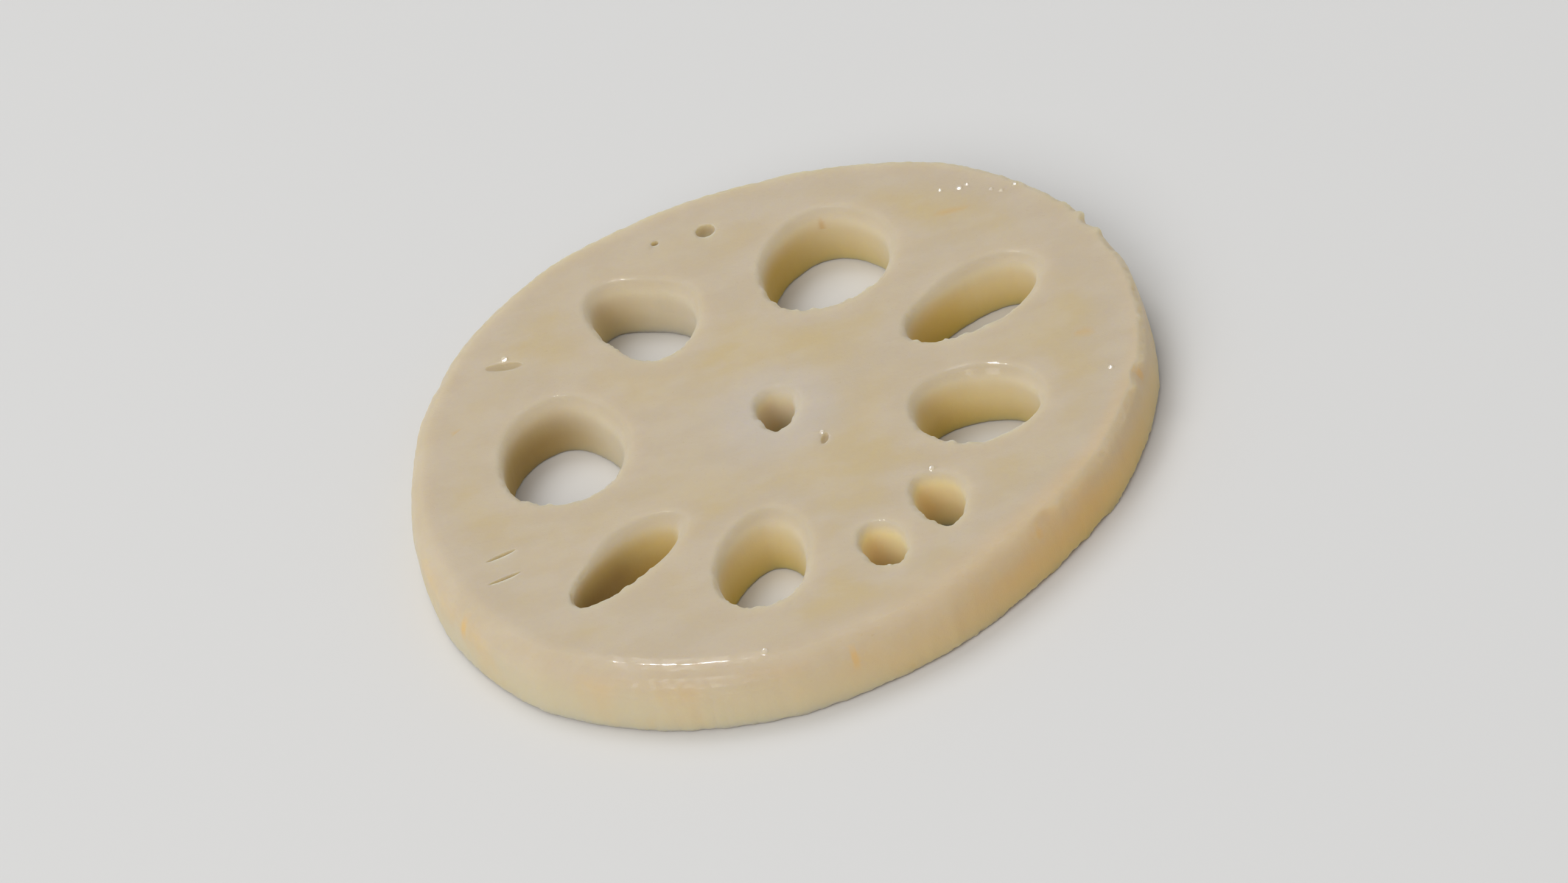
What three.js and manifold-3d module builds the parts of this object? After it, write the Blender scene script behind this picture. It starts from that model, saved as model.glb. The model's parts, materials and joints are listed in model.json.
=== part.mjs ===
// A cross-cut slice of peeled lotus root, lying flat on the face that the knife left last.
//
// The slice is one solid body of flesh. Its outline is a lobed oval with the faint flats of a peeler.
// Seven wide air channels, two narrow ones and a fine one in the middle run through it, as they run the
// length of the root. Most are longer along the root's radius than across it and move outwards a little
// on their way down. Each has a top rim that is soft on one side and crisp on the other, and so has the
// slice itself. Small pores and short knife tears dent the faces. Lengths are in millimetres and angles
// in degrees, counted from +X towards +Y. The formulas below count from the middle of the outline, and
// the finished slice is then moved to stand with the middle of its box over the origin.

import * as THREE from "three";
import { mergeVertices } from "three/addons/utils/BufferGeometryUtils.js";
import Module from "manifold-3d";

const wasm = await Module();
wasm.setup();

// ---- Driving dimensions ----

const MEAN_RADIUS = 37.5;
const THICKNESS = 6.5;
const BOX_MIDDLE = { x: 0.47, y: -0.56 }; // the middle of the slice's box
const HUB = { x: 0.5, y: -0.2 }; // the root's middle, which the channels stand around

// The outline's lobes: how many there are round the slice, how far they stand out, and where one crests.
const LOBES = [
  { count: 2, height: 1.5, crest: 44 },
  { count: 3, height: 0.55, crest: 10 },
  { count: 4, height: 0.2, crest: -42 },
  { count: 5, height: 0.15, crest: -15 },
];
const PEELER_STROKES = 17;
const PEELER_FLAT = 0.14; // how far the corner between two strokes stands proud of their middles

const WALL_FLARE = 0.35; // the wall stands out this much further at the underside
const WALL_BELLY = 0.12; // and bulges this much half-way up
const UNDER_ROUND = 0.5; // the radius of the underside's outer rim
const TOP_ROUND = { least: 0.5, most: 3.0, at: -118 }; // that of the top's, and where it is roundest

const FACE_SWAY = 0.16; // the knife's waver, up and down, over the top face
const FACE_WEDGE = 0.25; // the slice is thinner by this at its +Y side, and thicker at its -Y side

// How far a channel's rim is softened: at the least, at the most in a wide and in a narrow channel, how
// much further down than out, and the direction from the channel's middle in which it is softest. The
// underside's rims have the least all round.
const CHANNEL_RIM = { least: 0.25, wide: 1.8, narrow: 1.0, steepness: 1.4, softest: 65 };
const CHANNEL_WAVER = 0.018; // how uneven a channel's outline is, as a share of its width

// The channels at the top face. at and out place the middle of each from the hub, along is the half-length
// on its long axis, which points to axis, and across is half its width. egg widens the end that the axis
// points to, skew leans the outline to one side, and spread is how far it has moved outwards underneath.
const CHANNELS = [
  { at: 171, out: 21.7, along: 7.6, across: 6.0, axis: 271, egg: 0.12, skew: -0.04, spread: 0.2 },
  { at: 116, out: 22.9, along: 6.7, across: 4.6, axis: 295, egg: 0.16, skew: -0.24, spread: -0.2 },
  { at: 67.6, out: 22.8, along: 7.1, across: 6.4, axis: 256, egg: 0.01, skew: -0.04, spread: 0.4 },
  { at: 22, out: 23.1, along: 7.3, across: 4.1, axis: 25, egg: 0.0, skew: 0.02, spread: 0.6 },
  { at: -22, out: 20.1, along: 6.3, across: 5.0, axis: 335, egg: 0.1, skew: 0.1, spread: 0.5 },
  { at: -56.5, out: 23.7, along: 3.9, across: 2.3, axis: 101, egg: 0.08, skew: 0.22, spread: 0.4 },
  { at: -75, out: 25.0, along: 3.2, across: 2.0, axis: 285, egg: 0.01, skew: -0.11, spread: 0.4 },
  { at: -104, out: 22.0, along: 6.5, across: 4.3, axis: 257, egg: 0.24, skew: 0.04, spread: 0.6 },
  { at: -139, out: 24.2, along: 6.9, across: 2.8, axis: 38, egg: 0.01, skew: 0.03, spread: 0.5 },
  { at: 90, out: 0.4, along: 2.8, across: 1.85, axis: 90, egg: 0.1, skew: 0.05, spread: 0.3 },
];

// Pores and knife tears that dent a face: a half-length, a half-width and a depth, turned to an angle.
const DENTS = [
  { x: 4.4, y: -6.2, along: 0.8, across: 0.4, turn: 70, depth: 0.35, face: "top" },
  { x: -1.3, y: 31.0, along: 1.0, across: 1.0, turn: 0, depth: 0.8, face: "top" },
  { x: -6.5, y: 31.3, along: 0.4, across: 0.4, turn: 0, depth: 0.6, face: "top" },
  { x: -24.2, y: 18.8, along: 1.9, across: 0.65, turn: -14, depth: 0.32, face: "top" },
  { x: -29.2, y: -9.9, along: 1.6, across: 0.26, turn: 12, depth: 0.45, face: "top" },
  { x: -29.4, y: -13.4, along: 1.7, across: 0.26, turn: 10, depth: 0.4, face: "top" },
  { x: 5.1, y: -5.9, along: 0.6, across: 0.4, turn: 60, depth: 0.7, face: "under" },
  { x: -1.6, y: 30.6, along: 0.9, across: 0.5, turn: 20, depth: 0.8, face: "under" },
  { x: 30.4, y: -3.2, along: 1.2, across: 0.3, turn: 80, depth: 0.6, face: "under" },
];

// How finely the solids are faceted.
const FACETS = { outline: 112, wide: 36, narrow: 24, dent: 10 };
const NARROW = 4.5; // a channel with a half-length under this is a narrow one
const OVERSHOOT = 1.0; // how far a cutter runs past the face that it cuts

const radians = THREE.MathUtils.degToRad;

// ---- The shape of the slice as formulas ----

// The middle of each peeler stroke, at uneven steps round the root.
const strokes = Array.from({ length: PEELER_STROKES }, (_, k) =>
  radians((k * 360) / PEELER_STROKES + 6 * Math.sin(2.4 * k)),
);

// The turn from one direction to another, within half a turn either way.
function turnBetween(from, to) {
  return Math.atan2(Math.sin(to - from), Math.cos(to - from));
}

// 0 in the middle of a peeler stroke and 1 half a stroke away from it.
function offStroke(angle) {
  const nearest = Math.min(...strokes.map((s) => Math.abs(turnBetween(s, angle))));
  return nearest / (Math.PI / PEELER_STROKES);
}

// The outline's radius in a direction.
function outlineRadius(angle) {
  const lobes = LOBES.map((l) => l.height * Math.cos(l.count * (angle - radians(l.crest))));
  const flat = PEELER_FLAT * (offStroke(angle) ** 2 - 1 / 3);
  return MEAN_RADIUS + lobes.reduce((a, b) => a + b, 0) + flat;
}

// The height of the top face over a point, away from the rim.
function topHeight(x, y) {
  const sway = Math.sin(x / 10 + 0.8) * Math.cos(y / 13 - 0.4) + 0.5 * Math.sin((x + 2 * y) / 9);
  return THICKNESS + FACE_SWAY * sway - (FACE_WEDGE * y) / MEAN_RADIUS;
}

// The radius that the top's outer rim is rounded to in a direction.
function topRound(angle) {
  const side = 0.5 + 0.5 * Math.cos(angle - radians(TOP_ROUND.at));
  return TOP_ROUND.least + (TOP_ROUND.most - TOP_ROUND.least) * side ** 2;
}

// ---- Solids ----

// Moves each vertex of a geometry to where place says it belongs.
function reshape(geometry, place) {
  const position = geometry.getAttribute("position");
  const v = new THREE.Vector3();
  for (let i = 0; i < position.count; i++) {
    place(v.fromBufferAttribute(position, i));
    position.setXYZ(i, v.x, v.y, v.z);
  }
  return geometry;
}

// A closed geometry as a solid for joining and cutting.
function solid(geometry) {
  geometry.deleteAttribute("normal");
  geometry.deleteAttribute("uv");
  const merged = mergeVertices(geometry, 1e-4);
  return new wasm.Manifold(
    new wasm.Mesh({
      numProp: 3,
      vertProperties: merged.getAttribute("position").array,
      triVerts: new Uint32Array(merged.index.array),
    }),
  );
}

// The rows of the slice's half-section, from the middle of the underside round to the middle of the top.
// A row lies at a share of the radius, inset from the wall, at a height. Each is given the top rim's radius.
const rimTurns = [0, 30, 60, 90].map(radians);
const sectionRows = [
  () => ({ share: 0, inset: 0, high: 0 }),
  ...rimTurns.map((turn) => () => ({
    share: 1,
    inset: UNDER_ROUND * (1 - Math.sin(turn)),
    high: UNDER_ROUND * (1 - Math.cos(turn)),
  })),
  ...[0.33, 0.67].map((part) => (top) => ({
    share: 1,
    inset: 0,
    high: UNDER_ROUND + part * (THICKNESS - top - UNDER_ROUND),
  })),
  ...rimTurns.toReversed().map((turn) => (top) => ({
    share: 1,
    inset: top * (1 - Math.sin(turn)),
    high: THICKNESS - top * (1 - Math.cos(turn)),
  })),
  ...[0.93, 0.86, 0.76, 0.62, 0.46, 0.3, 0.15, 0].map((share) => (top) => ({
    share,
    inset: top,
    high: THICKNESS,
  })),
];

// The slice before its channels are cut: a lathed can whose rows are moved to their places.
function fleshSolid() {
  const last = sectionRows.length - 1;
  const can = sectionRows.map((_, row) => new THREE.Vector2(row === 0 || row === last ? 0 : 1, row));
  const disc = new THREE.LatheGeometry(can, FACETS.outline).rotateX(Math.PI / 2);
  reshape(disc, (v) => {
    const angle = Math.atan2(v.y, v.x);
    const { share, inset, high } = sectionRows[Math.round(v.z)](topRound(angle));
    const up = high / THICKNESS;
    const wall = WALL_FLARE * (1 - up) + WALL_BELLY * 4 * up * (1 - up);
    const radius = share * (outlineRadius(angle) + wall - inset);
    v.x = radius * Math.cos(angle);
    v.y = radius * Math.sin(angle);
    v.z = up * topHeight(v.x, v.y);
  });
  return solid(disc);
}

// A point on a channel's outline, counted from the channel's middle. turn runs round it and wider moves it
// outwards.
function channelOutline(channel, index, turn, wider) {
  const uneven = Math.sin(3 * turn + 2 * index) + 0.6 * Math.sin(5 * turn + 5 * index);
  const waver = 1 + CHANNEL_WAVER * uneven;
  const along = (channel.along * waver + wider) * Math.cos(turn) * (1 + channel.skew * Math.sin(turn));
  const across = (channel.across * waver + wider) * Math.sin(turn) * (1 + channel.egg * Math.cos(turn));
  const axis = radians(channel.axis);
  return {
    x: along * Math.cos(axis) - across * Math.sin(axis),
    y: along * Math.sin(axis) + across * Math.cos(axis),
  };
}

// How far a channel's top rim is softened at one point of its outline.
function channelTopRim(channel, index, size, turn) {
  const { x, y } = channelOutline(channel, index, turn, 0);
  const side = 0.5 + 0.5 * Math.cos(Math.atan2(y, x) - radians(CHANNEL_RIM.softest));
  return CHANNEL_RIM.least + (CHANNEL_RIM[size] - CHANNEL_RIM.least) * side ** 1.5;
}

// The levels of a channel's cutter, from below the underside to above the top. Each is given the top rim.
const channelLevels = [
  () => ({ high: -OVERSHOOT, wider: CHANNEL_RIM.least }),
  () => ({ high: 0, wider: CHANNEL_RIM.least }),
  () => ({ high: CHANNEL_RIM.least, wider: 0 }),
  () => ({ high: THICKNESS / 2, wider: -0.1 }),
  ...rimTurns.toReversed().map((turn) => (rim) => ({
    high: THICKNESS - CHANNEL_RIM.steepness * rim * (1 - Math.cos(turn)),
    wider: rim * (1 - Math.sin(turn)),
  })),
  (rim) => ({ high: THICKNESS + OVERSHOOT, wider: rim }),
];

// A cutter for one air channel, flared at both faces so that the rims come out soft.
function channelCutter(channel, index) {
  const size = channel.along > NARROW ? "wide" : "narrow";
  const steps = channelLevels.length - 1;
  const tube = new THREE.CylinderGeometry(1, 1, steps, FACETS[size], steps).rotateX(Math.PI / 2);
  const out = radians(channel.at);
  return solid(
    reshape(tube, (v) => {
      const share = Math.hypot(v.x, v.y); // 0 at the middle of an end cap, 1 on the wall
      const turn = Math.atan2(v.y, v.x);
      const rim = channelTopRim(channel, index, size, turn);
      const { high, wider } = channelLevels[Math.round(v.z + steps / 2)](rim);
      const down = 1 - THREE.MathUtils.clamp(high / THICKNESS, 0, 1);
      const { x, y } = channelOutline(channel, index, turn, wider);
      const distance = channel.out + channel.spread * down;
      v.x = HUB.x + distance * Math.cos(out) + share * x;
      v.y = HUB.y + distance * Math.sin(out) + share * y;
      v.z = (high / THICKNESS) * topHeight(v.x, v.y);
    }),
  );
}

// A cutter for one pore or tear: a flattened ball half sunk into its face.
function dentCutter(dent) {
  const ball = new THREE.SphereGeometry(1, FACETS.dent, FACETS.dent / 2)
    .scale(dent.along, dent.across, dent.depth)
    .rotateZ(radians(dent.turn))
    .translate(dent.x, dent.y, dent.face === "top" ? topHeight(dent.x, dent.y) : 0);
  return solid(ball);
}

// The finished slice as a geometry.
function sliceGeometry() {
  const cutters = [...CHANNELS.map(channelCutter), ...DENTS.map(dentCutter)];
  const cut = cutters.reduce((body, cutter) => body.subtract(cutter), fleshSolid()).getMesh();
  return new THREE.BufferGeometry()
    .setAttribute("position", new THREE.BufferAttribute(cut.vertProperties, 3))
    .setIndex(new THREE.BufferAttribute(cut.triVerts, 1))
    .translate(-BOX_MIDDLE.x, -BOX_MIDDLE.y, 0);
}

const flesh = new THREE.MeshStandardMaterial({ color: 0xe6d8bc, roughness: 0.45, metalness: 0 });

const slice = new THREE.Mesh(sliceGeometry(), flesh);
slice.name = "slice";
slice.geometry.computeVertexNormals();

const lotusRoot = new THREE.Group();
lotusRoot.add(slice);

export default lotusRoot;
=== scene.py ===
"""A cross-cut slice of peeled lotus root on a plain pale table."""

import json
import math

import bpy
import numpy as np
from mathutils import Euler, Matrix, Vector, noise

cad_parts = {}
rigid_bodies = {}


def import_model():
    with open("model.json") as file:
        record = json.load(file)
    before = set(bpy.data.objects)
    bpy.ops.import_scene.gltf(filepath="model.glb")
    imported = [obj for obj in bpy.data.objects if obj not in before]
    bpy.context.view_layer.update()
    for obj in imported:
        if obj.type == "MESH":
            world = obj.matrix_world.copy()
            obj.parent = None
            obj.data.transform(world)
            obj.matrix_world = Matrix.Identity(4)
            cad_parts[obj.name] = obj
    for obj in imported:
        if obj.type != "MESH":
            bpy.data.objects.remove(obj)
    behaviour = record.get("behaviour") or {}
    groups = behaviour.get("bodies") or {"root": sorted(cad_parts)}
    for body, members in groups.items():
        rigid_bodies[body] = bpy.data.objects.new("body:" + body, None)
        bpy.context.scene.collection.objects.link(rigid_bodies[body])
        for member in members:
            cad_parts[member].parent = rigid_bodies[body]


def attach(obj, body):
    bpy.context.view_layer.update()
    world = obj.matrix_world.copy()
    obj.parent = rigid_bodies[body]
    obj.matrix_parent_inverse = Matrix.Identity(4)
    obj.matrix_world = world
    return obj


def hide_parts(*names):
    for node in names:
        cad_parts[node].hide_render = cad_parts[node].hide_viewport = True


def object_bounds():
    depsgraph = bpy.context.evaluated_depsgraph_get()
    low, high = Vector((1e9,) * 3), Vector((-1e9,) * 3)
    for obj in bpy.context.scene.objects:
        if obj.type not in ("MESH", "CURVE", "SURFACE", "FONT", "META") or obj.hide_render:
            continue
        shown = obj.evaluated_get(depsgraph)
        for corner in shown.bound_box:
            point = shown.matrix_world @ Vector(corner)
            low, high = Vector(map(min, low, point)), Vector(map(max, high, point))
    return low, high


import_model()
cad_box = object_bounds()


# ---- Table, daylight and camera ----
# A pale matt table top in soft light: one broad light high up behind the slice, another at the front left,
# and a small lamp high up that only glints in the wet. The camera stands well back and looks down on the
# slice, turned a little about its own line of sight.

TABLE_SIZE = 6.0
TABLE_GREY = (0.74, 0.735, 0.725, 1.0)
TABLE_ROUGHNESS = 0.9
TABLE_SHEEN = 0.2
ROOM_LIGHT = (0.95, 0.97, 1.0, 1.0)
ROOM_BRIGHTNESS = 0.44
DAYLIGHT = (1.0, 0.985, 0.96)
LAMPLIGHT = (1.0, 1.0, 1.0)
SIGHT_HEIGHT = 39.0  # degrees above the table
SIGHT_ROLL = -16.0  # degrees
SIGHT_DISTANCE = 1.5
SIGHT_LENS = 350.0  # millimetres, as is the sensor
SIGHT_SENSOR = 36.0
SIGHT_NEAREST = 0.05
SIGHT_TARGET = Vector((0.0, 0.0, 0.003))

bpy.ops.object.select_all(action="DESELECT")
bpy.ops.mesh.primitive_plane_add(size=TABLE_SIZE, location=(0, 0, 0))
table = bpy.context.object
table.name = "table_top"
table_paint = bpy.data.materials.new("matt_table_top")
table_paint.use_nodes = True
table_shader = table_paint.node_tree.nodes["Principled BSDF"]
table_shader.inputs["Base Color"].default_value = TABLE_GREY
table_shader.inputs["Roughness"].default_value = TABLE_ROUGHNESS
table_shader.inputs["Specular IOR Level"].default_value = TABLE_SHEEN
table.data.materials.append(table_paint)

sky = bpy.data.worlds.new("soft_room")
sky.use_nodes = True
sky.node_tree.nodes["Background"].inputs["Color"].default_value = ROOM_LIGHT
sky.node_tree.nodes["Background"].inputs["Strength"].default_value = ROOM_BRIGHTNESS
bpy.context.scene.world = sky
bpy.context.scene.view_settings.view_transform = "Standard"


def window(name, place, wide, tall, power, tint, only_glints=False):
    """A soft light that faces the slice, or one that only shows as a glint. Power is in watts."""
    light = bpy.data.lights.new(name, "AREA")
    light.shape = "RECTANGLE"
    light.size = wide
    light.size_y = tall
    light.energy = power
    light.color = tint
    lamp = bpy.data.objects.new(name, light)
    lamp.location = place
    lamp.rotation_euler = (Vector(place) - SIGHT_TARGET).to_track_quat("Z", "Y").to_euler()
    bpy.context.scene.collection.objects.link(lamp)
    lamp.visible_diffuse = not only_glints


window("light_behind", (-0.35, 0.70, 1.55), wide=1.0, tall=1.0, power=8.8, tint=DAYLIGHT)
window("light_front", (-0.75, -1.10, 1.15), wide=1.2, tall=1.2, power=14.0, tint=DAYLIGHT)
window("lamp", (-0.17, 0.44, 1.0), wide=0.20, tall=0.12, power=11.0, tint=LAMPLIGHT, only_glints=True)

sight = bpy.data.cameras.new("sight")
sight.lens = SIGHT_LENS
sight.sensor_width = SIGHT_SENSOR
sight.clip_start = SIGHT_NEAREST
camera = bpy.data.objects.new("camera", sight)
above = math.radians(SIGHT_HEIGHT)
camera.location = SIGHT_TARGET + SIGHT_DISTANCE * Vector((0, -math.cos(above), math.sin(above)))
level_view = Euler((math.pi / 2 - above, 0, 0)).to_matrix()
camera.rotation_euler = (level_view @ Matrix.Rotation(math.radians(SIGHT_ROLL), 3, "Z")).to_euler()
bpy.context.scene.collection.objects.link(camera)
bpy.context.scene.camera = camera


# ---- The slice ----
# One disc of raw root flesh, peeled in strokes down its side and cut across with a knife. Air channels run
# through it. It is lofted from its outline, the channels are cut out of it, and the whole is then
# remeshed finely so that ragged rims, pores, knife tears and fibres can be worked into its skin.

MM = 0.001
MEAN_RADIUS = 37.5 * MM
THICKNESS = 6.5 * MM
BOX_MIDDLE = Vector((0.47 * MM, -0.56 * MM, 0))  # the middle of the slice's box, from that of its outline
HUB = np.array([0.5, -0.2]) * MM  # the root's middle, which the channels stand around

# The outline's lobes: how many go round the slice, how far they stand out, and where one crests in degrees.
LOBES = [(2, 1.5 * MM, 44), (3, 0.55 * MM, 10), (4, 0.2 * MM, -42), (5, 0.15 * MM, -15)]
PEELER_STROKES = 17
STROKE_WAVER = 6  # how far a stroke strays from even spacing, in degrees
PEELER_FLAT = 0.14 * MM
WALL_FLARE = 0.35 * MM  # how much further out the wall stands underneath than at the top
WALL_BELLY = 0.12 * MM
UNDER_ROUND = 0.5 * MM  # the radius that the underside's rim is rounded to
TOP_ROUND_LEAST = 0.5 * MM
TOP_ROUND_MOST = 3.0 * MM
TOP_ROUND_AT = -118  # the direction in degrees in which the top rim is worn roundest
FACE_SWAY = 0.16 * MM
FACE_WEDGE = 0.25 * MM  # how much the slice thins from its middle to its far edge
CHANNEL_WAVER = 0.018
CHANNEL_WAIST = -0.1 * MM  # how much wider than its outline a channel is half-way up
NARROW = 4.5  # a channel with a half-length under this, in millimetres, is a narrow one
RIM_LEAST = 0.25 * MM  # how far a channel's rim is softened at its crispest, and all round underneath
RIM_MOST_WIDE = 1.8 * MM
RIM_MOST_NARROW = 1.0 * MM
RIM_STEEPNESS = 1.4  # how much further a soft rim reaches down than out
RIM_SOFTEST_AT = 65  # the direction from a channel's middle, in degrees, in which its top rim is softest
CUT_BEYOND = 1 * MM  # how far a channel's cutter stands out of each face

# Channels at the top face, in millimetres and degrees: the direction and distance from the hub, half the
# length and half the width, the direction of the long axis, how much the outline is egg-shaped and leans,
# and how far it moves outwards on its way down.
CHANNELS = [
    (171, 21.7, 7.6, 6.0, 271, 0.12, -0.04, 0.2),
    (116, 22.9, 6.7, 4.6, 295, 0.16, -0.24, -0.2),
    (67.6, 22.8, 7.1, 6.4, 256, 0.01, -0.04, 0.4),
    (22, 23.1, 7.3, 4.1, 25, 0.0, 0.02, 0.6),
    (-22, 20.1, 6.3, 5.0, 335, 0.1, 0.1, 0.5),
    (-56.5, 23.7, 3.9, 2.3, 101, 0.08, 0.22, 0.4),
    (-75, 25.0, 3.2, 2.0, 285, 0.01, -0.11, 0.4),
    (-104, 22.0, 6.5, 4.3, 257, 0.24, 0.04, 0.6),
    (-139, 24.2, 6.9, 2.8, 38, 0.01, 0.03, 0.5),
    (90, 0.4, 2.8, 1.85, 90, 0.1, 0.05, 0.3),
]

OUTLINE_SIDES = 320
CHANNEL_SIDES = 96
VOXEL = 0.2 * MM
TRIANGLE_LIMIT = 190000

strokes_at = [k * 360 / PEELER_STROKES + STROKE_WAVER * math.sin(2.4 * k) for k in range(PEELER_STROKES)]


def turned_from(angle, at):
    """The turn to each angle from a direction in degrees, at most half a turn either way."""
    return np.angle(np.exp(1j * (angle - math.radians(at))))


def on_side(angle, at):
    """1 in a direction in degrees and 0 opposite it, eased between them."""
    return 0.5 + 0.5 * np.cos(angle - math.radians(at))


def outline_radius(angle):
    """The outline's radius in each direction, with a flat for each stroke of the peeler."""
    lobes = sum(high * np.cos(count * (angle - math.radians(crest))) for count, high, crest in LOBES)
    turns = [np.abs(turned_from(angle, at)) for at in strokes_at]
    off_stroke = np.min(turns, axis=0) / (math.pi / PEELER_STROKES)
    return MEAN_RADIUS + lobes + PEELER_FLAT * (off_stroke**2 - 1 / 3)


def top_height(x, y):
    """The height of the top face: a wedge with a broad wave each way and a finer one aslant."""
    x_mm, y_mm = x / MM, y / MM
    sway = np.sin(x_mm / 10 + 0.8) * np.cos(y_mm / 13 - 0.4) + 0.5 * np.sin((x_mm + 2 * y_mm) / 9)
    return THICKNESS + FACE_SWAY * sway - FACE_WEDGE * y / MEAN_RADIUS


def smooth(t):
    """0 below 0 and 1 above 1, eased between them."""
    t = np.clip(t, 0, 1)
    return t * t * (3 - 2 * t)


def top_round(angle):
    """The radius that the top rim is rounded to in each direction."""
    worn = on_side(angle, TOP_ROUND_AT) ** 2
    return TOP_ROUND_LEAST + (TOP_ROUND_MOST - TOP_ROUND_LEAST) * worn


def channel_outline(number, t, wider, depth):
    """Points on a channel's outline, made wider all round. Depth is 0 at the top face and 1 underneath."""
    at, out, along, across, axis, egg, skew, spread = CHANNELS[number]
    waver = 1 + CHANNEL_WAVER * (np.sin(3 * t + 2 * number) + 0.6 * np.sin(5 * t + 5 * number))
    u = (along * MM * waver + wider) * np.cos(t) * (1 + skew * np.sin(t))
    v = (across * MM * waver + wider) * np.sin(t) * (1 + egg * np.cos(t))
    distance = (out + spread * depth) * MM
    a, b = math.radians(at), math.radians(axis)
    return (
        HUB[0] + distance * math.cos(a) + u * math.cos(b) - v * math.sin(b),
        HUB[1] + distance * math.sin(a) + u * math.sin(b) + v * math.cos(b),
    )


def points_of(mesh):
    """A mesh's points as an array with a row for each."""
    flat = np.empty(len(mesh.vertices) * 3)
    mesh.vertices.foreach_get("co", flat)
    return flat.reshape(-1, 3)


def put_points(mesh, points):
    """Moves a mesh's points to the rows of an array."""
    mesh.vertices.foreach_set("co", points.ravel())
    mesh.update()


def lofted(name, sides, heights, place):
    """A closed form: a filled circle extruded up through heights, each ring then moved by place."""
    bpy.ops.object.select_all(action="DESELECT")
    bpy.ops.mesh.primitive_circle_add(
        vertices=sides, radius=1, fill_type="NGON", location=(0, 0, heights[0])
    )
    form = bpy.context.object
    form.name = name
    bpy.ops.object.mode_set(mode="EDIT")
    bpy.ops.mesh.select_all(action="SELECT")
    for low, high in zip(heights, heights[1:]):
        bpy.ops.mesh.extrude_region_move(TRANSFORM_OT_translate={"value": (0, 0, high - low)})
    bpy.ops.object.mode_set(mode="OBJECT")
    bpy.ops.object.transform_apply(location=True, rotation=True, scale=True)
    points = points_of(form.data)
    angle = np.arctan2(points[:, 1], points[:, 0])
    level = np.abs(points[:, 2:3] - np.array(heights)).argmin(axis=1)
    put_points(form.data, place(angle, level))
    bpy.ops.object.mode_set(mode="EDIT")
    bpy.ops.mesh.select_all(action="SELECT")
    bpy.ops.mesh.normals_make_consistent(inside=False)
    bpy.ops.object.mode_set(mode="OBJECT")
    return form


# The turns at which a rounded rim has its rings, and the shares of the wall's height at which the wall has.
ROUND_TURNS = np.radians([0, 15, 30, 45, 60, 75, 90])
WALL_SHARES = np.array([0.25, 0.5, 0.75])
DISC_LEVELS = 2 * len(ROUND_TURNS) + len(WALL_SHARES)


def place_disc(angle, level):
    """Where the disc's points go: round the underside's rim, up the wall and round the top's rim."""
    turn = ROUND_TURNS[np.minimum(level, len(ROUND_TURNS) - 1)]
    inset = UNDER_ROUND * (1 - np.sin(turn))
    high = UNDER_ROUND * (1 - np.cos(turn))
    top = top_round(angle)
    for step, share in enumerate(WALL_SHARES, len(ROUND_TURNS)):
        high = np.where(level == step, UNDER_ROUND + share * (THICKNESS - top - UNDER_ROUND), high)
        inset = np.where(level == step, 0, inset)
    turn = ROUND_TURNS[np.clip(DISC_LEVELS - 1 - level, 0, len(ROUND_TURNS) - 1)]
    upper = level >= len(ROUND_TURNS) + len(WALL_SHARES)
    high = np.where(upper, THICKNESS - top * (1 - np.cos(turn)), high)
    inset = np.where(upper, top * (1 - np.sin(turn)), inset)
    up = high / THICKNESS
    radius = outline_radius(angle) + WALL_FLARE * (1 - up) + WALL_BELLY * 4 * up * (1 - up) - inset
    return np.column_stack([radius * np.cos(angle), radius * np.sin(angle), high])


slice_piece = lofted("slice_flesh", OUTLINE_SIDES, range(DISC_LEVELS), place_disc)


def channel_middle(number):
    """The middle of a channel at the top face."""
    at, out = math.radians(CHANNELS[number][0]), CHANNELS[number][1] * MM
    return HUB + out * np.array([math.cos(at), math.sin(at)])


def top_rim(number, angle):
    """How far a channel's top rim is softened at each point of its outline."""
    x, y = channel_outline(number, angle, 0, 0)
    middle = channel_middle(number)
    towards = np.arctan2(y - middle[1], x - middle[0])
    most = RIM_MOST_WIDE if CHANNELS[number][2] > NARROW else RIM_MOST_NARROW
    soft = on_side(towards, RIM_SOFTEST_AT) ** 1.5
    return RIM_LEAST + (most - RIM_LEAST) * soft


def channel_cutter(number):
    """A form that cuts one channel out, flared at both faces. Its rings lie below the slice, round the
    underside's rim, half-way up, round the top's rim and above."""
    turns = len(ROUND_TURNS)
    last = 2 * turns + 2

    def place(angle, level):
        rim = top_rim(number, angle)
        high = np.where(level == 0, -CUT_BEYOND, THICKNESS / 2)
        wider = np.where(level == 0, RIM_LEAST, CHANNEL_WAIST)
        turn = ROUND_TURNS[np.clip(level - 1, 0, turns - 1)]
        under = (level > 0) & (level <= turns)
        high = np.where(under, RIM_LEAST * (1 - np.cos(turn)), high)
        wider = np.where(under, RIM_LEAST * (1 - np.sin(turn)), wider)
        turn = ROUND_TURNS[np.clip(last - 1 - level, 0, turns - 1)]
        upper = level > turns + 1
        down = RIM_STEEPNESS * rim * (1 - np.cos(turn))
        high = np.where(upper, np.where(level == last, THICKNESS + CUT_BEYOND, THICKNESS - down), high)
        wider = np.where(upper, rim * (1 - np.sin(turn)), wider)
        depth = 1 - np.clip(high / THICKNESS, 0, 1)
        x, y = channel_outline(number, angle, wider, depth)
        return np.column_stack([x, y, high])

    return lofted(f"cutter_{number}", CHANNEL_SIDES, range(last + 1), place)


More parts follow.
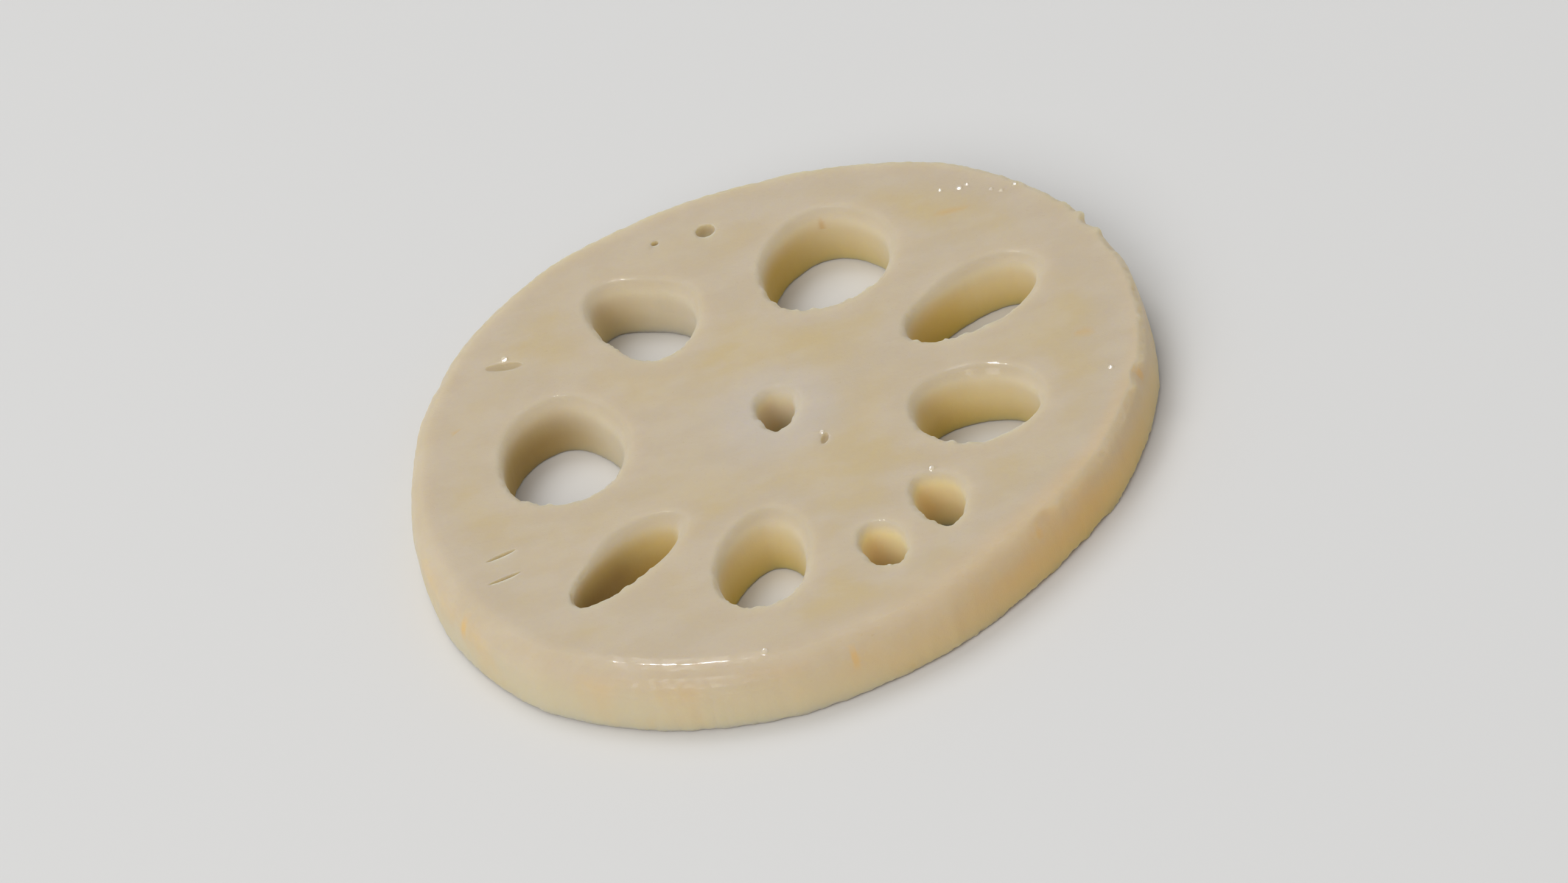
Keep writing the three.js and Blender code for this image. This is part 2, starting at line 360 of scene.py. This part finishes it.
cutters = bpy.data.collections.new("cutters")
bpy.context.scene.collection.children.link(cutters)
for number in range(len(CHANNELS)):
    cutter = channel_cutter(number)
    bpy.context.scene.collection.objects.unlink(cutter)
    cutters.objects.link(cutter)


def apply_modifier(piece, kind, **settings):
    """Adds a modifier to a piece and applies it."""
    bpy.ops.object.select_all(action="DESELECT")
    piece.select_set(True)
    bpy.context.view_layer.objects.active = piece
    modifier = piece.modifiers.new(kind.lower(), kind)
    for key, value in settings.items():
        setattr(modifier, key, value)
    bpy.ops.object.modifier_apply(modifier=modifier.name)


apply_modifier(slice_piece, "BOOLEAN", operand_type="COLLECTION", collection=cutters, solver="MANIFOLD")
for cutter in list(cutters.objects):
    bpy.data.objects.remove(cutter)
bpy.data.collections.remove(cutters)
apply_modifier(slice_piece, "REMESH", mode="VOXEL", voxel_size=VOXEL, adaptivity=0)
apply_modifier(slice_piece, "SMOOTH", factor=0.5, iterations=4)

OUTLINE_STEPS = 240  # the steps in which a channel's outline is followed round


def channel_gaps(points):
    """How far each point stands outside the nearest channel's outline, which one it is, and the direction
    of the point from that channel's middle."""
    t = np.linspace(-math.pi, math.pi, OUTLINE_STEPS)
    gaps = []
    directions = []
    for number in range(len(CHANNELS)):
        depth = 1 - np.clip(points[:, 2] / THICKNESS, 0, 1)
        top_x, top_y = channel_outline(number, t, 0, 0)
        middle = channel_middle(number)
        heading = (middle - HUB) / np.hypot(*(middle - HUB))
        spread = CHANNELS[number][7]
        from_middle = points[:, :2] - middle - np.outer(depth * spread * MM, heading)
        bearings = np.arctan2(top_y - middle[1], top_x - middle[0])
        reach = np.hypot(top_x - middle[0], top_y - middle[1])
        order = np.argsort(bearings)
        bearing = np.arctan2(from_middle[:, 1], from_middle[:, 0])
        edge = np.interp(bearing, bearings[order], reach[order], period=2 * math.pi)
        gaps.append(np.hypot(from_middle[:, 0], from_middle[:, 1]) - edge)
        directions.append(bearing)
    nearest = np.argmin(gaps, axis=0)
    return np.min(gaps, axis=0), nearest, np.choose(nearest, directions)


def rim_insets(points):
    """How far each point stands inside the outline."""
    angle = np.arctan2(points[:, 1], points[:, 0])
    return outline_radius(angle) - np.hypot(points[:, 0], points[:, 1])


def normals_of(mesh):
    """The direction in which the skin faces at each point."""
    flat = np.empty(len(mesh.vertices) * 3, dtype=np.float32)
    mesh.vertex_normals.foreach_get("vector", flat)
    return flat.reshape(-1, 3).astype(float)


def grain(points, scale, seed):
    """Smooth noise at points, with a scale in cycles per millimetre along each axis."""
    moved = points / MM * np.array(scale) + seed * 17.3
    return np.array([noise.noise(Vector(p)) for p in moved])


def mark_reach(points, mark):
    """Each point's share of the way from the middle to the edge of an oval mark, which is given in
    millimetres and degrees by its place, half its length and width, and its turn."""
    x, y, along, across, turn = mark[:5]
    c, s = math.cos(math.radians(turn)), math.sin(math.radians(turn))
    dx, dy = points[:, 0] / MM - x, points[:, 1] / MM - y
    return np.hypot((dx * c + dy * s) / along, (dy * c - dx * s) / across)


# Pores and knife tears, in millimetres and degrees: the place, half the length and half the width, the
# turn, the depth, how far the lips stand up, and which face is dented.
DENTS = [
    (4.4, -6.2, 0.8, 0.4, 70, 0.35, 0.0, "top"),
    (-1.3, 31.0, 1.0, 1.0, 0, 0.8, 0.0, "top"),
    (-6.5, 31.3, 0.4, 0.4, 0, 0.6, 0.0, "top"),
    (-24.2, 18.8, 1.9, 0.65, -14, 0.32, 0.0, "top"),
    (-29.2, -9.9, 1.6, 0.26, 12, 0.45, 0.015, "top"),
    (-29.4, -13.4, 1.7, 0.26, 10, 0.4, 0.01, "top"),
    (5.1, -5.9, 0.6, 0.4, 60, 0.7, 0.0, "under"),
    (-1.6, 30.6, 0.9, 0.5, 20, 0.8, 0.0, "under"),
    (30.4, -3.2, 1.2, 0.3, 80, 0.6, 0.05, "under"),
]

# Beads of water and wet burrs on the top face, in millimetres: the place, the radius and the height. One
# with no height is a patch that is only wet.
BEADS = [
    (22.3, 26.6, 0.24, 0.13),
    (24.2, 26.2, 0.30, 0.16),
    (25, 26.4, 0.22, 0.12),
    (27.2, 24.6, 0.22, 0.12),
    (28.1, 23.9, 0.24, 0.13),
    (29.6, 24.3, 0.24, 0.13),
    (33.2, -7.9, 0.28, 0.15),
    (27.6, 9.6, 0.22, 0.12),
    (18.9, -1.7, 0.90, 0.00),
    (22.2, -2.6, 0.60, 0.00),
    (13.6, -15.2, 0.28, 0.15),
    (-6.9, 24.3, 0.70, 0.00),
    (4.3, -5.2, 0.24, 0.13),
    (-24, 19.8, 0.36, 0.19),
    (-6.9, -35.2, 0.34, 0.18),
]

DENT_MARGIN = 0.5  # how far the finer faces reach past a dent and past a bead, in millimetres
BEAD_MARGIN = 0.3


def split_round_marks():
    """Splits the faces round each dent and bead finely enough to carry it."""
    mesh = slice_piece.data
    centres = np.empty(len(mesh.polygons) * 3)
    mesh.polygons.foreach_get("center", centres)
    centres = centres.reshape(-1, 3)
    high = centres[:, 2] > THICKNESS / 2
    chosen = np.zeros(len(centres), dtype=bool)
    for dent in DENTS:
        x, y, along, across, turn = dent[:5]
        wider = (x, y, along + DENT_MARGIN, across + DENT_MARGIN, turn)
        chosen |= (mark_reach(centres, wider) < 1) & (high == (dent[7] == "top"))
    for x, y, radius, _ in BEADS:
        wider = (x, y, radius + BEAD_MARGIN, radius + BEAD_MARGIN, 0)
        chosen |= (mark_reach(centres, wider) < 1) & high
    bpy.ops.object.mode_set(mode="EDIT")
    bpy.ops.mesh.select_mode(type="FACE")
    bpy.ops.mesh.select_all(action="DESELECT")
    bpy.ops.object.mode_set(mode="OBJECT")
    mesh.polygons.foreach_set("select", chosen)
    bpy.ops.object.mode_set(mode="EDIT")
    bpy.ops.mesh.subdivide(number_cuts=3, smoothness=0)
    bpy.ops.object.mode_set(mode="OBJECT")


split_round_marks()

# Nicks and shreds on the rims, in millimetres: the place, the reach, and how far flesh stands out there.
# Flesh that stands out of a channel's rim narrows the channel.
NICKS = [
    (-13.7, 18.8, 0.7, -0.5),
    (-14.7, 17.8, 0.6, 0.3),
    (19.5, -2.4, 0.8, -0.2),
    (-17.0, 8.2, 0.7, -0.25),
    (12.0, -16.2, 0.6, -0.2),
    (-8.6, -26.2, 0.7, -0.2),
    (25.5, 4.9, 0.7, -0.22),
    (-23.5, -18.9, 0.7, -0.2),
]

# Chips and burrs on the top's outer rim: the direction in degrees, the reach along the rim and down the
# side in millimetres, and how far flesh stands out there.
CHIPS = [
    (26.3, 0.6, 0.8, 0.75),
    (24.2, 0.9, 1.2, -0.45),
    (21.4, 0.6, 0.8, 0.5),
    (29.5, 1.0, 0.7, 0.25),
    (17.5, 1.6, 0.8, -0.25),
    (-11.5, 0.8, 0.8, 0.3),
    (-14.5, 1.4, 1.4, -0.5),
    (-18.0, 1.0, 0.7, 0.25),
    (-40.0, 1.2, 0.6, 0.2),
    (-46.5, 0.9, 0.7, 0.45),
    (-49.5, 1.5, 1.3, -0.5),
    (-84.0, 0.8, 0.6, -0.2),
    (148.0, 1.2, 0.8, -0.3),
    (171.0, 0.9, 0.7, 0.2),
    (196.0, 1.1, 0.8, -0.25),
    (82.0, 1.1, 0.8, -0.2),
]

# The skin's relief. Each grain is in cycles per millimetre along each axis.
RIM_NICK = 0.16 * MM
RIM_NICK_REACH = 0.7 * MM
NICK_GRAIN = (0.9, 0.9, 0.6)
FINE_NICK_GRAIN = (2.4, 2.4, 1.2)
SOFT_RIM_ROUGHNESS = 0.15  # a channel's rim where it is softest, and how much more where it is crispest
CRISP_RIM_ROUGHNESS = 2.1
OUTER_RIM_ROUGHNESS = 0.7  # the outer rim at its calmest, and how much more where it is most ragged
RAGGED_RIM_ROUGHNESS = 1.3
RAGGEDEST_AT = -20  # the direction in degrees in which the outer rim is most ragged
FACE_PITTING = 0.025 * MM
PITTING_GRAIN = (0.4, 0.7, 0.4)
RIM_RIPPLE = 0.02 * MM
RIM_RIPPLE_REACH = 2.2 * MM
RIPPLE_GRAIN = (1.3, 1.3, 0.8)
WALL_FIBRE = 0.05 * MM
WALL_GRAIN = (1.1, 0.12, 0.2)  # round the slice, up it and inwards
LINING_FIBRE = 0.6 * WALL_FIBRE
LINING_GRAIN = (1.3, 1.3, 0.12)
SKIN_DEPTH = 1.0 * MM  # how near the outline or a channel's wall a point belongs to it
CHIP_REACH_IN = 1.5 * MM
LIP_AT = 1.25  # where a dent's lip crests, as a share of the dent's reach
LIP_WIDTH = 0.35
BEAD_LEAN = np.array([0.38, 0.93])  # a bead rises this way, so that its top leans the way that glints

# The skin is shaped: rims are nicked and chipped, faces are pitted, the walls keep the root's fibres, the
# top sways as the knife did, and dents and beads are pressed and raised.
skin = points_of(slice_piece.data)
normals = normals_of(slice_piece.data)
gap, nearest, towards = channel_gaps(skin)
inset = rim_insets(skin)
to_face = np.minimum(skin[:, 2], THICKNESS - skin[:, 2])
flat_face = smooth((np.abs(normals[:, 2]) - 0.6) / 0.35)
by_rim = smooth(1 - np.minimum(np.abs(gap), inset) / RIM_NICK_REACH) * smooth(1 - to_face / RIM_NICK_REACH)
on_wall = smooth(1 - inset / SKIN_DEPTH) * (1 - flat_face)
on_lining = smooth(1 - np.abs(gap) / SKIN_DEPTH) * (1 - flat_face)

bearing = np.arctan2(skin[:, 1], skin[:, 0])
ragged = OUTER_RIM_ROUGHNESS + RAGGED_RIM_ROUGHNESS * smooth(np.cos(bearing - math.radians(RAGGEDEST_AT)))
uneven = 0.4 + grain(skin, NICK_GRAIN, 1) + 0.5 * grain(skin, FINE_NICK_GRAIN, 2)
at_outer_rim = smooth(1 - inset / (2 * RIM_NICK_REACH))
crisp = 1 - on_side(towards, RIM_SOFTEST_AT) ** 0.7
rough = SOFT_RIM_ROUGHNESS + CRISP_RIM_ROUGHNESS * crisp
relief = -RIM_NICK * by_rim * (rough + (ragged - rough) * at_outer_rim) * uneven
relief += FACE_PITTING * flat_face * grain(skin, PITTING_GRAIN, 3)
relief += RIM_RIPPLE * smooth(2 - inset / RIM_RIPPLE_REACH) * grain(skin, RIPPLE_GRAIN, 6)
unrolled = np.column_stack([bearing * MEAN_RADIUS, skin[:, 2], inset])
relief += WALL_FIBRE * on_wall * grain(unrolled, WALL_GRAIN, 4)
relief += LINING_FIBRE * on_lining * grain(skin, LINING_GRAIN, 5)
skin += normals * relief[:, None]

upper_half = smooth(2 * skin[:, 2] / THICKNESS - 1)
for x, y, reach, out in NICKS:
    apart = np.hypot(skin[:, 0] / MM - x, skin[:, 1] / MM - y) / reach
    push = out * MM * np.exp(-(apart**2)) * upper_half * np.maximum(by_rim, 0.4 * (1 - flat_face))
    skin[:, :2] += normals[:, :2] * push[:, None]

for at, along, down, out in CHIPS:
    arc = turned_from(bearing, at) * MEAN_RADIUS / MM
    shape = np.exp(-((arc / along) ** 2) - (((THICKNESS - skin[:, 2]) / MM / down) ** 2))
    push = out * MM * shape * smooth(1 - inset / CHIP_REACH_IN)
    skin[:, 0] += push * np.cos(bearing)
    skin[:, 1] += push * np.sin(bearing)

skin[:, 2] *= top_height(skin[:, 0], skin[:, 1]) / THICKNESS

for dent in DENTS:
    reach = mark_reach(skin, dent)
    on_its_face = (skin[:, 2] > THICKNESS / 2) == (dent[7] == "top")
    bowl = -dent[5] * MM * np.sqrt(np.clip(1 - reach**2, 0, 1))
    lip = dent[6] * MM * np.exp(-(((reach - LIP_AT) / LIP_WIDTH) ** 2))
    outwards = np.where(normals[:, 2] > 0, 1, -1) * flat_face
    skin[:, 2] += np.where(on_its_face, outwards * (bowl + lip), 0)

facing_up = smooth((normals[:, 2] - 0.5) / 0.3)
for x, y, radius, tall in BEADS:
    reach = mark_reach(skin, (x, y, radius, radius, 0))
    rise = 0.5 + 0.5 * ((skin[:, :2] / MM - (x, y)) @ BEAD_LEAN) / radius
    skin[:, 2] += tall * MM * facing_up * np.clip(rise, 0, 1) * smooth(3 * (1.2 - reach))

put_points(slice_piece.data, skin - BOX_MIDDLE)

slice_piece.data.calc_loop_triangles()
kept = min(1, TRIANGLE_LIMIT / len(slice_piece.data.loop_triangles))
apply_modifier(
    slice_piece, "DECIMATE", decimate_type="COLLAPSE", ratio=kept, use_collapse_triangulate=True
)
bpy.ops.object.shade_smooth()

# Nothing stands out of the slice's box.
put_points(slice_piece.data, np.clip(points_of(slice_piece.data), cad_box[0], cad_box[1]))

# The stretch of the top's front rim where water stands: its middle and its reach each way, in degrees.
WET_RIM_AT = -115
WET_RIM_REACH = 18

# Tan flecks on the top face, in millimetres and degrees: the place, half the length and width, the turn.
FLECKS = [
    (22.6, 23.0, 1.3, 0.35, -10),
    (24.2, 23.1, 0.7, 0.30, 40),
    (31.6, -1.2, 1.0, 0.40, 5),
    (-30.5, 10.7, 0.5, 0.4, 0),
    (10.0, 28.2, 0.30, 0.45, 0),
]

# Marks down the peeled side: the direction in degrees, half the width and the reach down from the top in
# millimetres.
SIDE_MARKS = [
    (-88, 0.35, 4.2),
    (-52, 0.5, 3.2),
    (-14, 0.5, 2.4),
    (28, 0.4, 3.8),
    (121, 0.4, 4.4),
    (206, 0.4, 3.6),
]

# How golden each channel's lining is, how amber its left side is, how much painted shade darkens its left
# side, and how much painted light brightens it, standing in for light that comes through the flesh.
CHANNEL_GOLD = np.array([0.25, 0.15, 0.8, 1.0, 0.9, 0.9, 0.75, 1.0, 1.6, 0.35])
CHANNEL_AMBER = np.array([0.8, 0.5, 0.9, 0.6, 0.4, 0.7, 0.4, 0.3, 0.5, 0.0])
CHANNEL_SHADE = np.array([0.95, 0.1, 0.25, 0.0, 0.0, 0.0, 0.0, 0.0, 1.0, 0.0])
CHANNEL_PAINTED_LIGHT = np.array([0.0, 0.0, 0.0, 0.0, 0.0, 0.6, 0.7, 0.0, 0.0, 0.2])
# Towards this end a lining is also darkened with painted shade, where less light falls.
SHADED_END_AT = 180  # the direction from a channel's middle, in degrees, in which its lining is most golden
BROWNEST_AT = -40  # the direction in degrees in which the peeled side is tan
FILM_GRAIN = (1.4, 1.4, 1.4)
PIT_REACH = 1.3  # how far a tint reaches round its mark, as a share of the mark's reach
BEAD_REACH = 1.8
FLECK_REACH = 1.4
# A pit's tint is its own brown together with painted shade, which grows with the pit's depth.
PIT_SHADE_SHARE = 0.3  # how much of its tint the shallowest pit takes, and then more with its depth
FLECK_SHARE = 0.7
SIDE_MARK_SHARE = 0.7


def close_to(distance, end, fade=1.0):
    """1 up to a fade before the end of a reach and 0 from its end on. End and fade are in millimetres."""
    return smooth((end - distance / MM) / fade)


def clear_of(distance, start, fade):
    """0 up to the start of a reach and 1 from a fade after it on. Start and fade are in millimetres."""
    return smooth((distance / MM - start) / fade)


# How much of each kind of flesh lies at each point, for the material. The lining is a channel's wall. Gold
# and amber tint it, partly as painted shade at its left end and deeper down. A darker tint paints shade on
# the left side of some linings, and a lighter one paints light into the small channels. Depth runs from 0
# at the top face to 1 underneath. The rim shade is painted shade on the slope of a rim. The side is the
# peeled wall, which is browned in places. Between is the yellower flesh that stands clear of the channels,
# the heart and the rim. A pit is the inside of a pore or a tear, tinted brown and darkened with painted
# shade.
skin = points_of(slice_piece.data) + np.array(BOX_MIDDLE)
upward = normals_of(slice_piece.data)[:, 2]
steep = smooth((0.95 - np.abs(upward)) / 0.55)
gap, nearest, towards = channel_gaps(skin)
inset = rim_insets(skin)
from_hub = np.hypot(skin[:, 0] - HUB[0], skin[:, 1] - HUB[1])
to_top = (top_height(skin[:, 0], skin[:, 1]) - skin[:, 2]) / THICKNESS
pits = [
    smooth(PIT_REACH - mark_reach(skin, dent))
    * min(1, PIT_SHADE_SHARE + dent[5])
    * ((to_top < 0.5) == (dent[7] == "top"))
    for dent in DENTS
]
beads = [smooth(BEAD_REACH - mark_reach(skin, (x, y, radius, radius, 0))) for x, y, radius, _ in BEADS]
flecks = [smooth(FLECK_REACH - mark_reach(skin, fleck)) for fleck in FLECKS]
bearing = np.arctan2(skin[:, 1], skin[:, 0])
marks = [
    smooth(1.5 - np.abs(turned_from(bearing, at)) * MEAN_RADIUS / MM / wide)
    * smooth(2 - 2 * (to_top * THICKNESS / MM) / deep)
    for at, wide, deep in SIDE_MARKS
]
off_wet_rim = np.abs(np.degrees(turned_from(bearing, WET_RIM_AT)))
rim_film = smooth(1.5 * (1 - off_wet_rim / WET_RIM_REACH)) * close_to(inset, 5.0, 2.5)
rim_film *= smooth(2 - 3 * to_top) * smooth(0.4 + 1.8 * grain(skin, FILM_GRAIN, 7))
# Linings turn more golden, amber and darker towards this end: part tint, part painted shade.
toward_shaded_end = np.cos(towards - math.radians(SHADED_END_AT))
# Sloping rims near a channel, and the crisp part of the outer rim, get painted shade that darkens a light
# ring the lighting leaves there.
sloping = smooth((0.999 - upward) / 0.025) * smooth((upward - 0.6) / 0.3)
by_channel = close_to(gap, 2.2)
by_crisp_edge = close_to(inset, 1.2, 0.6) * close_to(top_round(bearing), 2.0)
kinds = {
    "lining": steep * close_to(gap, 2.4),
    "gold": CHANNEL_GOLD[nearest] * (0.8 + 0.2 * toward_shaded_end),
    "amber": CHANNEL_AMBER[nearest] * smooth(0.25 + 0.85 * toward_shaded_end),
    "lining_shade": CHANNEL_SHADE[nearest] * smooth(0.8 + 0.7 * toward_shaded_end),
    "painted_lining_light": CHANNEL_PAINTED_LIGHT[nearest],
    "depth": np.clip(to_top, 0, 1),
    "rim_shade": sloping * np.maximum(by_channel, by_crisp_edge),
    "side": steep * close_to(inset, 1.6),
    "between": clear_of(gap, 1.0, 4.0) * clear_of(inset, 2.5, 4.5) * clear_of(from_hub, 4.0, 6.0),
    "heart": close_to(from_hub, 10.0, 8.0),
    "pit_tint_and_shade": np.max(pits, axis=0),
    "wet": np.maximum(np.max(beads, axis=0) * (to_top < 0.5), rim_film),
    "fleck": np.max(flecks, axis=0) * (to_top < 0.3) * FLECK_SHARE,
}
tanned = on_side(bearing, BROWNEST_AT) ** 7
tanned *= smooth(1.4 - inset / (2 * top_round(bearing))) * (0.25 + 0.75 * smooth(1.5 * to_top))
kinds["browned"] = np.maximum(tanned, SIDE_MARK_SHARE * kinds["side"] * np.max(marks, axis=0))
for name, share in kinds.items():
    layer = slice_piece.data.attributes.new(name, "FLOAT", "POINT")
    layer.data.foreach_set("value", share.astype(np.float32))

# The finish of raw, wet root flesh. It is palest round the channels, at the heart and at the rim, and
# yellower between them. Faint streaks lie along the knife's stroke. It is golden down the channels, and
# darker deeper down and towards their left ends, partly as painted shade. Some linings carry more painted
# shade and the small ones painted light. Rims carry painted shade on their slopes, and pits are darkened
# with painted shade. It is tan on the peeled side, and water stands on it here and there.
PALE = (0.575, 0.48, 0.35, 1.0)
HEART = (0.575, 0.505, 0.42, 1.0)
YELLOW = (0.59, 0.47, 0.275, 1.0)
STREAK = (0.52, 0.41, 0.26, 1.0)
CHALK = (0.63, 0.545, 0.43, 1.0)
# Painted shade for the sloping rims, darker than the pale flesh.
RIM_SHADE = (0.53, 0.45, 0.335, 1.0)
# The linings are lighter than the face's flesh: painted light that makes up for the weaker light on the
# walls, so a far rim fades into the face.
LINING_PALE = (0.70, 0.62, 0.475, 1.0)
LINING = (0.78, 0.63, 0.29, 1.0)
# Deep lining: golden, and darker as painted shade, since less light reaches deep down.
LINING_DEEP_SHADE = (0.67, 0.47, 0.135, 1.0)
LINING_AMBER = (0.64, 0.44, 0.10, 1.0)
# Painted shade for the darkest linings, deeper down and towards their left sides.
LINING_SHADE = (0.41, 0.28, 0.105, 1.0)
# Painted light: a lighter lining for the small channels, standing in for light that comes through the
# flesh.
LINING_PAINTED_LIGHT = (0.92, 0.775, 0.43, 1.0)
PEELED = (0.655, 0.565, 0.385, 1.0)
TAN = (0.74, 0.46, 0.15, 1.0)
# Inside of pores and tears: brown, darkened with painted shade.
PIT_TINT_AND_SHADE = (0.49, 0.385, 0.19, 1.0)
FLECK = (0.62, 0.43, 0.21, 1.0)

# The patterns' sizes are in cycles per millimetre along each axis.
PATCHES = (0.085, 0.12, 0.1)
MOTTLE = (0.18, 0.27, 0.2)
STREAKS = (0.22, 1.1, 0.5)
STREAKS_TURN = -6  # degrees
SPECKS = (3.2, 3.6, 3.2)
SIDE_PATCHES = (0.12, 0.12, 0.1)
DAMP_PATCHES = (0.14, 0.2, 0.15)
PORES = (2.2, 2.8, 2.2)
PORE_DEPTH = 0.06 * MM

# How strongly each tint shows where it shows most.
MOTTLE_SHARE = 0.38
STREAK_SHARE = 0.10
SPECK_SHARE = 0.35
BROWNED_SHARE = 0.8
SIDE_TAN_SHARE = 0.25
RIM_SHADE_SHARE = 0.5

# How light enters the flesh and the water on it. The glow's depth is for red, and its tint gives the share
# of that depth for red, green and blue.
FLESH_IOR = 1.38
FLESH_SHEEN = 0.08
FLESH_GLOW_DEPTH = 4.0 * MM
FLESH_GLOW_TINT = (1.0, 0.88, 0.42)
WATER_IOR = 1.33
WATER_ROUGHNESS = 0.04
DRY_ROUGHNESS = 0.60
WET_ROUGHNESS = 0.50
DRY_FILM = 0.02  # how much water stands on flesh that looks dry
DAMP_SHARE = 0.12  # how wet the damp patches are

flesh = bpy.data.materials.new("root_flesh")
flesh.use_nodes = True
tree = flesh.node_tree
shader = tree.nodes["Principled BSDF"]
shader.inputs["IOR"].default_value = FLESH_IOR
shader.inputs["Specular IOR Level"].default_value = FLESH_SHEEN
shader.inputs["Subsurface Weight"].default_value = 1.0
shader.inputs["Subsurface Radius"].default_value = FLESH_GLOW_TINT
shader.inputs["Subsurface Scale"].default_value = FLESH_GLOW_DEPTH
shader.inputs["Coat Roughness"].default_value = WATER_ROUGHNESS
shader.inputs["Coat IOR"].default_value = WATER_IOR


def put(kind, settings=None, **sockets):
    """Adds a node. Its sockets go by name, or by number after a low line. A socket's value is a number, a
    colour or another node's output to link."""
    made = tree.nodes.new(kind)
    for key, value in (settings or {}).items():
        setattr(made, key, value)
    for key, value in sockets.items():
        socket = made.inputs[int(key[1:])] if key[1:].isdigit() else made.inputs[key.replace("_", " ")]
        if isinstance(value, bpy.types.NodeSocket):
            tree.links.new(value, socket)
        else:
            socket.default_value = value
    return made


object_place = put("ShaderNodeTexCoord").outputs["Object"]


def mapped(stretch, turn=0.0):
    """Object coordinates in cycles. Stretch gives the cycles per millimetre along each axis."""
    return put(
        "ShaderNodeMapping",
        Vector=object_place,
        Scale=[s / MM for s in stretch],
        Rotation=(0, 0, math.radians(turn)),
    ).outputs["Vector"]


def cloud(stretch, detail, roughness=0.5, turn=0.0):
    """Noise between about 0.25 and 0.75."""
    return put(
        "ShaderNodeTexNoise", Vector=mapped(stretch, turn), Scale=1.0, Detail=detail, Roughness=roughness
    ).outputs["Fac"]


def ramp(value, low, high):
    """0 below low and 1 above high, eased."""
    return put(
        "ShaderNodeMapRange",
        {"interpolation_type": "SMOOTHSTEP"},
        Value=value,
        From_Min=low,
        From_Max=high,
    ).outputs["Result"]


def times(a, b):
    """The product of two shares."""
    return put("ShaderNodeMath", {"operation": "MULTIPLY"}, _0=a, _1=b).outputs[0]


def blend(share, a, b):
    """Colour a turned into colour b by share."""
    return put("ShaderNodeMix", {"data_type": "RGBA"}, Factor=share, _6=a, _7=b).outputs[2]


def kind_of_flesh(name):
    """How much of one kind of flesh lies at each point."""
    return put("ShaderNodeAttribute", {"attribute_name": name}).outputs["Fac"]


gold_share = kind_of_flesh("gold")
side_share = kind_of_flesh("side")
depth_share = kind_of_flesh("depth")
lining_share = times(kind_of_flesh("lining"), ramp(depth_share, -0.02, 0.2))
patches = ramp(cloud(PATCHES, detail=2.0), 0.30, 0.70)
mottle = ramp(cloud(MOTTLE, detail=3.0), 0.36, 0.66)
streaks = ramp(cloud(STREAKS, detail=3.0, roughness=0.6, turn=STREAKS_TURN), 0.52, 0.80)
specks = ramp(cloud(SPECKS, detail=1.0), 0.70, 0.78)
colour = blend(kind_of_flesh("heart"), PALE, HEART)
colour = blend(times(kind_of_flesh("between"), patches), colour, YELLOW)
colour = blend(times(mottle, MOTTLE_SHARE), colour, CHALK)
colour = blend(times(streaks, STREAK_SHARE), colour, STREAK)
colour = blend(times(specks, SPECK_SHARE), colour, STREAK)
tan_patches = ramp(cloud(SIDE_PATCHES, detail=3.0), 0.45, 0.70)
side_depth = ramp(depth_share, 0.0, 0.7)
colour = blend(times(side_share, side_depth), colour, PEELED)
colour = blend(times(kind_of_flesh("browned"), BROWNED_SHARE), colour, TAN)
colour = blend(times(side_share, times(tan_patches, SIDE_TAN_SHARE)), colour, TAN)
# Painted shade on the sloping rims.
colour = blend(times(kind_of_flesh("rim_shade"), RIM_SHADE_SHARE), colour, RIM_SHADE)
# The lining starts lighter than the face, as painted light, and turns golden deeper down.
lining = blend(times(gold_share, ramp(depth_share, 0.0, 0.5)), LINING_PALE, LINING)
# Golden and darker deeper down: part tint, part painted shade.
lining = blend(times(gold_share, ramp(depth_share, 0.35, 0.95)), lining, LINING_DEEP_SHADE)
# Amber towards the left end: part tint, part painted shade.
lining = blend(times(kind_of_flesh("amber"), ramp(depth_share, 0.0, 0.5)), lining, LINING_AMBER)
# Painted light in the small channels.
lining = blend(kind_of_flesh("painted_lining_light"), lining, LINING_PAINTED_LIGHT)
# Painted shade on the left side of some linings, stronger deeper down.
lining = blend(times(kind_of_flesh("lining_shade"), ramp(depth_share, -0.1, 0.65)), lining, LINING_SHADE)
colour = blend(lining_share, colour, lining)
colour = blend(kind_of_flesh("fleck"), colour, FLECK)
# Pores and tears darkened with painted shade, more in deeper ones.
colour = blend(kind_of_flesh("pit_tint_and_shade"), colour, PIT_TINT_AND_SHADE)
tree.links.new(colour, shader.inputs["Base Color"])

damp = times(ramp(cloud(DAMP_PATCHES, detail=3.0), 0.42, 0.62), DAMP_SHARE)
wet = kind_of_flesh("wet")
film = put("ShaderNodeMath", {"operation": "MAXIMUM"}, _0=damp, _1=wet).outputs[0]
tree.links.new(
    put("ShaderNodeMapRange", Value=film, To_Min=DRY_ROUGHNESS, To_Max=WET_ROUGHNESS).outputs["Result"],
    shader.inputs["Roughness"],
)
tree.links.new(
    put("ShaderNodeMapRange", Value=film, To_Min=DRY_FILM, To_Max=1.0).outputs["Result"],
    shader.inputs["Coat Weight"],
)

pores = cloud(PORES, detail=4.0, roughness=0.65)
grooved = put("ShaderNodeMath", {"operation": "MULTIPLY_ADD"}, _0=streaks, _1=0.1, _2=pores).outputs[0]
bump = put("ShaderNodeBump", Height=grooved, Strength=0.6, Distance=PORE_DEPTH)
tree.links.new(bump.outputs["Normal"], shader.inputs["Normal"])
slice_piece.data.materials.clear()
slice_piece.data.materials.append(flesh)

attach(slice_piece, "root")
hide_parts("slice")
